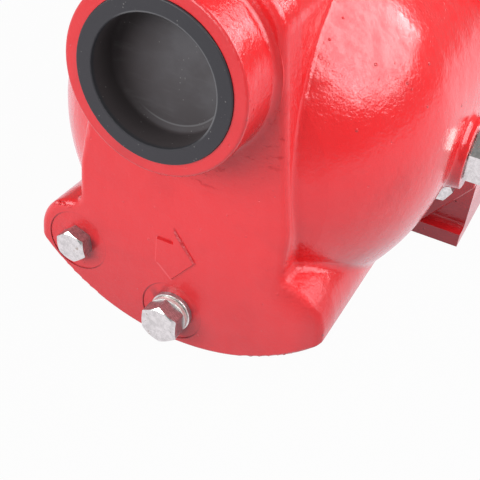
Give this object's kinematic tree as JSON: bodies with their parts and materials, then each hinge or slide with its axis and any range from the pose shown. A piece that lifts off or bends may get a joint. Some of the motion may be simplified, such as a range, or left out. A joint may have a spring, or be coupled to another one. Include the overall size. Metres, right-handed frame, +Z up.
{
  "type": "shallow well jet pump",
  "caption": "Cast iron shallow well jet pump with a front suction port, top discharge port and a close-coupled electric motor on a slotted foot.",
  "frame": {"origin": "on the floor, in the middle of the four foot slots, under the shaft", "axes": "+Z up, the suction port faces -Y, +X to the right seen from the suction port"},
  "size_m": [0.1596, 0.3754, 0.1807],
  "materials": {
    "red_paint": "gloss",
    "black_plastic": "satin",
    "zinc_steel": "bright zinc",
    "black_paint": "semi-gloss"
  },
  "bodies": {
    "root": {"bottom_bolt_flat_washer": "zinc_steel", "bottom_bolt_lock_washer": "zinc_steel", "bottom_nose_bolt": "zinc_steel", "capacitor_cover": "black_paint", "casing_flange_bolt_1": "zinc_steel", "casing_flange_bolt_2": "zinc_steel", "casing_flange_bolt_3": "zinc_steel", "casing_flange_bolt_4": "zinc_steel", "left_nose_bolt": "zinc_steel", "left_side_plug": "zinc_steel", "motor_front_bell": "black_paint", "motor_rear_bell": "black_paint", "motor_shell": "black_paint", "motor_terminal_cover": "black_paint", "motor_through_bolt_1": "zinc_steel", "motor_through_bolt_2": "zinc_steel", "motor_through_bolt_3": "zinc_steel", "motor_through_bolt_4": "zinc_steel", "mounting_foot": "red_paint", "priming_plug": "zinc_steel", "pump_casing": "red_paint", "right_side_plug": "zinc_steel", "seal_plate": "red_paint", "seal_plate_bolt_1": "zinc_steel", "seal_plate_bolt_2": "zinc_steel", "seal_plate_bolt_3": "zinc_steel", "seal_plate_bolt_4": "zinc_steel", "suction_port_plug": "black_plastic"}
  },
  "joints": []
}
